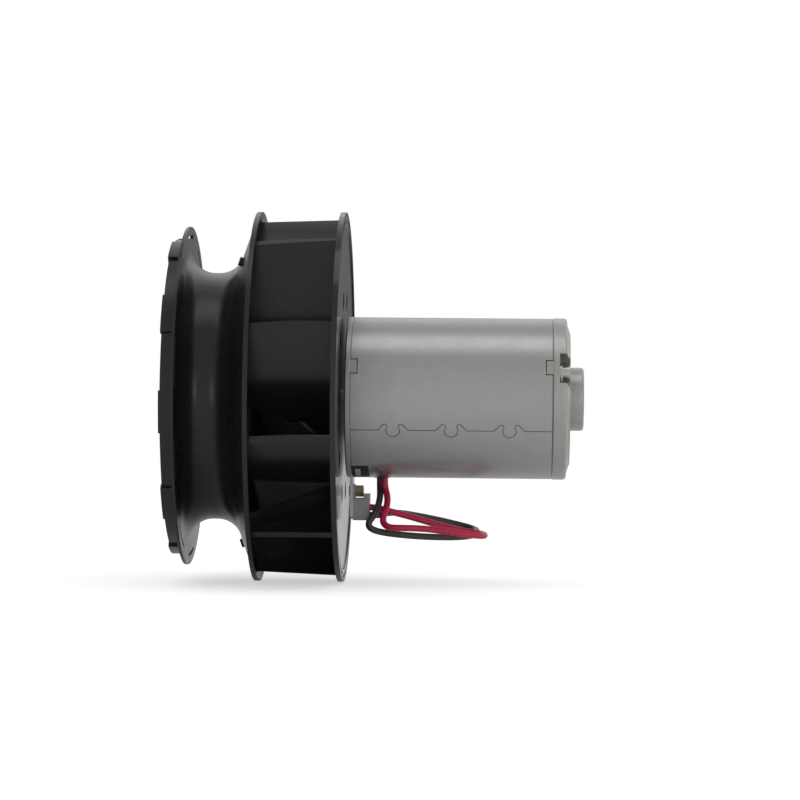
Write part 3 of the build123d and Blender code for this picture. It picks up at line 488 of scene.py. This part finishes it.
bpy.ops.mesh.primitive_cylinder_add(
    vertices=48,
    radius=lead_hole_radius,
    depth=0.012,
    location=(lead_x, *outward(lead_phi, 0.039)),
    rotation=(pi / 2 - radians(lead_phi), 0, 0),
)
combine(can, "DIFFERENCE", bpy.context.object)

seam_phi = -23.6
seam_half_width = 0.00022
lock_pitch = 0.0285
lock_radius = 0.0033
lock_drop = 0.0002
neck_half = 0.0026
neck_turn = atan2(sqrt(lock_radius**2 - neck_half**2), neck_half)
lock_turn = pi + 2 * neck_turn
lobe_foot = 0.0075
lobe_shoulder = 0.0047
lobe_mouth = 0.0031
lobe_height = 0.0031
seam_steps = 14
seam = [(can_front - over, 0.0)]
for index in (-1, 0, 1):
    lock_x = index * lock_pitch
    seam.append((lock_x - lobe_foot, 0.0))
    seam += [(lock_x - lobe_shoulder, lobe_height), (lock_x - lobe_mouth, lobe_height)]
    for step in range(seam_steps + 1):
        turn = pi - neck_turn + lock_turn * step / seam_steps
        seam.append((lock_x + lock_radius * cos(turn), lock_radius * sin(turn) - lock_drop))
    seam += [(lock_x + lobe_mouth, lobe_height), (lock_x + lobe_shoulder, lobe_height)]
    seam.append((lock_x + lobe_foot, 0.0))
seam.append((can_rear + over, 0.0))
seam_passes = (0.0, 0.00025, 0.0005)
for pass_drop in seam_passes:
    groove = bpy.data.curves.new("seam", "CURVE")
    groove.dimensions = "3D"
    groove.bevel_depth = seam_half_width
    groove.bevel_resolution = 1
    groove.use_fill_caps = True
    line = groove.splines.new("POLY")
    line.points.add(len(seam) - 1)
    for point, (x, along) in zip(line.points, seam):
        phi = seam_phi + degrees(along / can_radius)
        point.co = (x, *outward(phi, can_radius - pass_drop), 1)
    seam_cutter = bpy.data.objects.new("seam", groove)
    bpy.context.scene.collection.objects.link(seam_cutter)
    bpy.ops.object.select_all(action="DESELECT")
    seam_cutter.select_set(True)
    bpy.context.view_layer.objects.active = seam_cutter
    bpy.ops.object.convert(target="MESH")
    combine(can, "DIFFERENCE", seam_cutter)
finish_mesh(can)
zinc = material(
    "zinc plate", (0.43, 0.435, 0.43), (0.38, 0.385, 0.385), 9, 0.35, 0.7, 0.34, 0.08,
    metallic=1.0, relief_mm=0.002, grain=(1.0, 0.25, 0.25),
)
dress(can, "motor", "can_steel", zinc, "motor_can")


# End caps: aluminium die castings that plug the can's ends, each with a bearing seat. The front one
# is a shallow lid, the rear one has a raised disc, a closed boss and two notches for the bolts.
cap_front_face = -0.05235
cap_radius = can_radius + 0.0002
joint_bevel = 0.0005
rear_cap_face = 0.0566
cast = material(
    "cast aluminium", (0.46, 0.45, 0.43), (0.38, 0.37, 0.35), 4, 0.35, 0.7, 0.34, 0.14,
    metallic=0.92, relief_mm=0.02,
)
shaft_hole = 0.005
front_edge = 0.0006
spigot_radius = 0.0373
spigot_bore = 0.0346
spigot_depth = 0.003
front_plate_inner = cap_front_face + 0.0035
front_bearing_start = -0.05035
front_bearing_end = -0.04335
bearing_bore = 0.01102
inner_boss = 0.0145
boss_foot = 0.0015
front_cap = turned(
    "front_cap_casting",
    [
        (cap_front_face, shaft_hole),
        (cap_front_face, cap_radius - front_edge),
        (cap_front_face + front_edge, cap_radius),
        (can_front - joint_bevel, cap_radius),
        (can_front, cap_radius - joint_bevel),
        (can_front, spigot_radius),
        (can_front + spigot_depth, spigot_radius),
        (can_front + spigot_depth, spigot_bore),
        (front_plate_inner, spigot_bore),
        (front_plate_inner, inner_boss + boss_foot),
        (front_plate_inner + boss_foot, inner_boss),
        (front_bearing_end, inner_boss),
        (front_bearing_end, bearing_bore),
        (front_bearing_start, bearing_bore),
        (front_bearing_start, shaft_hole),
    ],
)
key_bottom = 0.0371
key_width = 0.0070
key_length = 0.0031
key_root = 0.0005


def add_keys(cap, x_low, x_high):
    """Joins the two square keys to a cap, their tops turned to the can's radius."""
    for phi in (key_phi, key_phi + 180):
        key = block("key", x_low, x_high, key_bottom, wall_outside, key_width, phi)
        limit = [(x_low - over, 0.030), (x_low - over, can_radius), (x_high + over, can_radius)]
        ring = turned("ring", limit + [(x_high + over, 0.030)])
        combine(cap, "UNION", combine(key, "INTERSECT", ring))


add_keys(front_cap, can_front - key_root, can_front + key_length)
finish_mesh(front_cap, edge=0.00015)
dress(front_cap, "motor", "cast_aluminium", cast, "front_end_cap")

cap_edge = 0.0015
plate_face = rear_cap_face + 0.0016
boss_radius = 0.01575
boss_end = 0.0652
boss_edge = 0.0016
boss_fillet = 0.0005
boss_wall = 0.00275
seat_end = boss_end - boss_wall
shoulder_top = rear_cap_face + 0.0012
plate_radius = 0.0331
wall_inner = can_rear + 0.001
near_axis = 0.0001
rear_cap = turned(
    "rear_cap_casting",
    [
        (can_rear - spigot_depth, spigot_bore),
        (can_rear - spigot_depth, spigot_radius),
        (can_rear, spigot_radius),
        (can_rear, cap_radius - joint_bevel),
        (can_rear + joint_bevel, cap_radius),
    ]
    + arc(rear_cap_face - cap_edge, cap_radius - cap_edge, cap_edge, 90, 0)
    + [
        (rear_cap_face, 0.0376),
        (shoulder_top, 0.0336),
        (shoulder_top, plate_radius),
        (plate_face, plate_radius),
        (plate_face, boss_radius + boss_fillet),
        (plate_face + boss_fillet, boss_radius),
    ]
    + arc(boss_end - boss_edge, boss_radius - boss_edge, boss_edge, 90, 0)
    + [
        (boss_end, near_axis),
        (seat_end, near_axis),
        (seat_end, bearing_bore),
        (wall_inner, bearing_bore),
        (wall_inner, spigot_bore),
    ],
)
add_keys(rear_cap, can_rear - key_length, can_rear + key_root)
notch_floor = can_rear + 0.0034
notch_inner = 0.0285
notch_width = 0.0156
core_ends = (0.04, 0.08)
for phi in (key_phi, key_phi + 180):
    notch = block("notch", notch_floor, rear_cap_face + 0.01, 0.020, 0.045, notch_width, phi)
    profile = [(core_ends[0], near_axis), (core_ends[1], near_axis)]
    profile += [(core_ends[1], notch_inner), (core_ends[0], notch_inner)]
    combine(rear_cap, "DIFFERENCE", combine(notch, "DIFFERENCE", turned("core", profile)))
finish_mesh(rear_cap, edge=0.00025)
dress(rear_cap, "motor", "cast_aluminium", cast, "rear_end_cap")


# Tie bolts: zinc-plated screws with a flange and a hexagon socket, sunk in the rear cap's notches.
plated = material(
    "plated steel", (0.55, 0.55, 0.54), (0.42, 0.42, 0.40), 4, 0.3, 0.5, 0.28, 0.1,
    metallic=1.0, relief_mm=0.005,
)
bolt_circle = 0.033
bolt_radius = 0.002
bolt_tip = can_front + 0.0008
bolt_flange = 0.0043
bolt_head = 0.0036
head_edge = 0.0004
flange_edge = notch_floor + 0.0007
flange_top = notch_floor + 0.0013
head_top = notch_floor + 0.0052
socket_radius = 0.0018
bolts = []
for phi in (key_phi, key_phi + 180):
    seat = outward(phi, bolt_circle)
    bolt = turned(
        "bolt",
        [
            (bolt_tip, near_axis),
            (bolt_tip, bolt_radius),
            (notch_floor, bolt_radius),
            (notch_floor, bolt_flange),
            (flange_edge, bolt_flange),
            (flange_top, bolt_flange - 0.0005),
            (flange_top, bolt_head),
            (head_top - head_edge, bolt_head),
            (head_top, bolt_head - head_edge),
            (head_top, near_axis),
        ],
        sides=48,
        middle=seat,
    )
    bpy.ops.mesh.primitive_cylinder_add(
        vertices=6,
        radius=socket_radius,
        depth=0.004,
        location=(head_top, *seat),
        rotation=(0, pi / 2, 0),
    )
    combine(bolt, "DIFFERENCE", bpy.context.object)
    bolts.append(bolt)
bpy.ops.object.select_all(action="DESELECT")
for bolt in bolts:
    bolt.select_set(True)
bpy.context.view_layer.objects.active = bolts[0]
bpy.ops.object.join()
bolts[0].name = "tie_bolt_pair"
finish_mesh(bolts[0])
dress(bolts[0], "motor", "plated_steel", plated, "tie_bolts")


# Wheel disc: black glass-filled nylon, moulded flat with a raised rim, a groove round it, cooling
# vents and a ribbed hub on the inlet side that takes the steel insert.
plastic = material(
    "black nylon", (0.009, 0.009, 0.009), (0.014, 0.014, 0.014), 22, 0.35, 0.5, 0.27, 0.1,
    relief_mm=0.006, shine=0.4,
)
smooth_plastic = material(
    "smooth black nylon", (0.009, 0.009, 0.009), (0.014, 0.014, 0.014), 22, 0.35, 0.5, 0.14, 0.05,
    relief_mm=0.001,
)
wheel_radius = 0.0922
disc_rear = -0.0536
web_rear = disc_rear - 0.0006
web_front = web_rear - 0.002
hub_front = -0.0842
hub_radius = 0.013
insert_radius = 0.008
hub_edge = 0.0006
hub_foot = 0.0015
rim_foot = wheel_radius - 0.006
groove_top = wheel_radius - 0.0022
groove_foot = groove_top - 0.0016
groove_floor = disc_rear - 0.0005
disc = turned(
    "wheel_disc",
    [
        (web_front, insert_radius),
        (hub_front, insert_radius),
        (hub_front, hub_radius - hub_edge),
        (hub_front + hub_edge, hub_radius),
        (web_front - hub_foot, hub_radius),
        (web_front, hub_radius + hub_foot),
        (web_front, wheel_radius),
        (disc_rear, wheel_radius),
        (disc_rear, groove_top),
        (groove_floor, groove_top),
        (groove_floor, groove_foot),
        (disc_rear, groove_foot),
        (disc_rear, rim_foot),
        (web_rear, rim_foot),
        (web_rear, insert_radius),
    ],
    sides=256,
)
blade_count = 10
blade_pitch = 360 / blade_count
blade_tip_phi = 23.8
blade_sweep = 43.0
vent_circle = 0.050
vent_radius = 0.0045
bpy.ops.object.select_all(action="DESELECT")
vent_phi = blade_tip_phi - blade_sweep + blade_pitch / 2
bpy.ops.mesh.primitive_cylinder_add(
    vertices=48,
    radius=vent_radius,
    depth=0.02,
    location=(web_front, *outward(vent_phi, vent_circle)),
    rotation=(0, pi / 2, 0),
)
vents = bpy.context.object


def ringed(piece, count):
    """Copies a piece evenly round the motor axis."""
    bpy.ops.object.select_all(action="DESELECT")
    piece.select_set(True)
    bpy.context.view_layer.objects.active = piece
    bpy.ops.object.transform_apply(location=True, rotation=True, scale=True)
    bpy.ops.object.mode_set(mode="EDIT")
    bpy.ops.mesh.select_all(action="SELECT")
    turn = 2 * pi * (count - 1) / count
    bpy.ops.mesh.spin(steps=count - 1, dupli=True, angle=turn, center=(0, 0, 0), axis=(1, 0, 0))
    bpy.ops.object.mode_set(mode="OBJECT")
    return piece


combine(disc, "DIFFERENCE", ringed(vents, blade_count))
rib_count = 5
rib_thickness = 0.002
rib_end = 0.038
rib_height = 0.022
rib_bed = 0.0005
rib = drawn(
    "rib",
    [
        (web_front + rib_bed, 0, hub_radius - 0.002),
        (web_front + rib_bed, 0, rib_end),
        (web_front - rib_height, 0, hub_radius),
        (web_front - rib_height, 0, hub_radius - 0.002),
    ],
)
bpy.ops.mesh.edge_face_add()
bpy.ops.object.mode_set(mode="OBJECT")


def thicken(sheet, thickness):
    """Gives a sheet its thickness, half to each side."""
    thick = sheet.modifiers.new("thickness", "SOLIDIFY")
    thick.thickness = thickness
    thick.offset = 0
    bpy.ops.object.modifier_apply(modifier=thick.name)


thicken(rib, rib_thickness)
combine(disc, "UNION", ringed(rib, rib_count))
finish_mesh(disc, edge=0.00025)
dress(disc, "rotor", "black_plastic", smooth_plastic, "impeller_disc")


# Shroud and inlet: one moulding, a cone over the blades that closes into the throat and flares out
# again into the inlet flange, which has ten arc slots for the tools of the mould.
wheel_front = -0.0978
ring_rear = wheel_front + 0.0024
ring_inner = wheel_radius - 0.0039
flange_radius = 0.0845
throat_radius = 0.0615
bell = 0.012
cone_bell = 0.0135
wall = 0.0016
cone_deg = 70.0
cone = radians(cone_deg)
bell_r = throat_radius + bell
cone_bell_r = throat_radius + cone_bell
cone_r = cone_bell_r - cone_bell * cos(cone)
cone_x = wheel_front - (ring_inner - cone_r) / tan(cone)
cone_bell_x = cone_x - cone_bell * sin(cone)
throat_length = 0.0022
bell_x = cone_bell_x - throat_length
flange_rear = bell_x - bell
flange_front = flange_rear - wall
cone_inner_x = cone_bell_x + (cone_bell + wall) * sin(cone)
cone_inner_r = cone_bell_r - (cone_bell + wall) * cos(cone)
shroud = turned(
    "wheel_shroud",
    [(flange_rear, flange_radius)]
    + arc(bell_x, bell_r, bell, 180, 270, 20)
    + arc(cone_bell_x, cone_bell_r, cone_bell, 270, 270 + cone_deg, 20)
    + [
        (wheel_front, ring_inner),
        (wheel_front, wheel_radius),
        (ring_rear, wheel_radius),
        (ring_rear, cone_inner_r + (ring_rear - cone_inner_x) * tan(cone)),
    ]
    + arc(cone_bell_x, cone_bell_r, cone_bell + wall, 270 + cone_deg, 270, 20)
    + arc(bell_x, bell_r, bell + wall, 270, 180, 20)
    + [(flange_front, flange_radius)],
    sides=256,
)
slot_outer = 0.0803
slot_inner = slot_outer - 0.0016
slot_span = 17.0
slot_start = flange_front - 0.002
slot_stop = flange_rear + 0.002
tab_phi = -5.8
tab_count = 10
tab_pitch = 360 / tab_count
slots = turned(
    "slots",
    [
        (slot_stop, slot_inner),
        (slot_start, slot_inner),
        (slot_start, slot_outer),
        (slot_stop, slot_outer),
    ],
    sides=12,
    start_phi=tab_phi + tab_pitch / 2 - slot_span / 2,
    turn_deg=slot_span,
)
combine(shroud, "DIFFERENCE", ringed(slots, tab_count))
finish_mesh(shroud, edge=0.00025)
dress(shroud, "rotor", "black_plastic", plastic, "inlet_shroud")


# Blades: ten backward-curved vanes of the same nylon, moulded on between disc and shroud. Each is
# an arc through three places, thickened and trimmed to the space between the two.
tip_rear = wheel_radius - 0.003
tip_front = wheel_radius - 0.0047
blade_root = 0.050
blade_middle = 0.068
blade_middle_sweep = 21.0
blade_thickness = 0.002
bed = 0.0004
tip = Vector(outward(blade_tip_phi, tip_rear))
middle = Vector(outward(blade_tip_phi - blade_middle_sweep, blade_middle))
root = Vector(outward(blade_tip_phi - blade_sweep, blade_root))
side_a = middle - tip
side_b = root - tip
cross = 2 * (side_a.x * side_b.y - side_a.y * side_b.x)
centre = tip + Vector((
    (side_b.y * side_a.length_squared - side_a.y * side_b.length_squared) / cross,
    (side_a.x * side_b.length_squared - side_b.x * side_a.length_squared) / cross,
))
sweep = (tip - centre).angle_signed(root - centre)
blade = drawn("blade", [(web_front + 0.003, *tip), (wheel_front - 0.012, *tip)])
bpy.ops.mesh.spin(steps=24, angle=sweep, center=(0, *centre), axis=(1, 0, 0))
bpy.ops.object.mode_set(mode="OBJECT")
thicken(blade, blade_thickness)
edge_deg = 45.0
edge_turn = radians(edge_deg)
edge_foot = 0.052
inner_bell = cone_bell + wall - bed
edge_x = cone_bell_x + inner_bell * sin(edge_turn)
edge_r = cone_bell_r - inner_bell * cos(edge_turn)
tip_x = cone_inner_x + (tip_front - cone_inner_r) / tan(cone) - bed
envelope = turned(
    "envelope",
    [(edge_x, edge_r), (web_front + bed, edge_foot), (web_front + bed, tip_rear), (tip_x, tip_front)]
    + arc(cone_bell_x, cone_bell_r, inner_bell, 270 + cone_deg, 270 + edge_deg, 6),
)
combine(blade, "INTERSECT", envelope)
finish_mesh(blade, edge=0.0003)
ringed(blade, blade_count)
blade.name = "wheel_blades"
dress(blade, "rotor", "black_plastic", plastic, "impeller_blades")


# Inlet rim: low collar round the flange with ten raised tabs.
rim_outer = 0.0780
rim_inner = rim_outer - 0.0023
rim_front = flange_front - 0.0056
rim_rear = flange_front + 0.0002
rim = turned(
    "rim_collar",
    [(rim_front, rim_inner), (rim_rear, rim_inner), (rim_rear, rim_outer), (rim_front, rim_outer)],
    sides=256,
)
tab_span = 15.0
tab_front = rim_front - 0.0006
tab_outer = rim_outer + 0.0012
tabs = turned(
    "tabs",
    [(tab_front, rim_inner), (rim_rear, rim_inner), (rim_rear, tab_outer), (tab_front, tab_outer)],
    sides=12,
    start_phi=tab_phi - tab_span / 2,
    turn_deg=tab_span,
)
combine(rim, "UNION", ringed(tabs, tab_count))
finish_mesh(rim, edge=0.00025)
dress(rim, "rotor", "black_plastic", plastic, "inlet_rim")


# Pieces that keep their CAD shape: each gets the finish of its real material.
brass = material(
    "dull brass", (0.85, 0.7, 0.5), (0.7, 0.57, 0.4), 3, 0.3, 0.5, 0.3, 0.12, metallic=0.8
)
grey_plastic = material(
    "grey nylon", (0.42, 0.44, 0.43), (0.36, 0.38, 0.37), 5, 0.3, 0.4, 0.45, 0.1
)
rubber = material(
    "black rubber", (0.02, 0.02, 0.02), (0.03, 0.03, 0.03), 4, 0.3, 0.5, 0.6, 0.1, relief_mm=0.02
)
moulded = material(
    "black moulding", (0.012, 0.012, 0.012), (0.02, 0.02, 0.02), 6, 0.3, 0.5, 0.5, 0.1
)
bearing_steel = material(
    "bearing steel", (0.62, 0.62, 0.62), (0.5, 0.5, 0.5), 3, 0.2, 0.4, 0.15, 0.05, metallic=1.0
)
ferrite = material(
    "ferrite", (0.05, 0.05, 0.052), (0.035, 0.035, 0.036), 3, 0.25, 0.6, 0.6, 0.1, relief_mm=0.02
)
lamination = material(
    "lamination steel", (0.3, 0.3, 0.31), (0.2, 0.2, 0.2), 5, 0.4, 0.6, 0.4, 0.1, metallic=1.0
)
copper = material(
    "copper", (0.62, 0.29, 0.16), (0.5, 0.22, 0.12), 3, 0.3, 0.5, 0.3, 0.1, metallic=1.0
)
carbon = material(
    "carbon", (0.03, 0.03, 0.032), (0.05, 0.05, 0.052), 2, 0.2, 0.6, 0.55, 0.1, relief_mm=0.015
)
tinned = material(
    "bare tin", (0.86, 0.85, 0.82), (0.74, 0.73, 0.7), 2, 0.2, 0.4, 0.4, 0.1, metallic=0.6
)
kept = {
    "brush_plate": moulded,
    "supply_terminal": tinned,
    "brush_holders": brass,
    "upper_brush_spring": plated,
    "lower_brush_spring": plated,
    "lead_grommet": rubber,
    "terminal_bracket": plated,
    "connector_housing": grey_plastic,
    "connector_pins": brass,
    "bracket_screw": plated,
    "bracket_nut": brass,
    "front_bearing_outer_ring": bearing_steel,
    "rear_bearing_outer_ring": bearing_steel,
    "preload_washer": plated,
    "field_magnets": ferrite,
    "magnet_clips": plated,
    "motor_shaft": plated,
    "armature_core": lamination,
    "armature_windings": copper,
    "commutator_core": moulded,
    "commutator_bars": copper,
    "front_bearing_inner_ring": bearing_steel,
    "rear_bearing_inner_ring": bearing_steel,
    "front_bearing_balls": bearing_steel,
    "rear_bearing_balls": bearing_steel,
    "hub_insert": plated,
    "hub_washer": plated,
    "hub_nut": plated,
    "balance_pads": plastic,
    "upper_brush": carbon,
    "lower_brush": carbon,
}
for name, made_of in kept.items():
    for slot in nodes[name].material_slots:
        slot.material = made_of
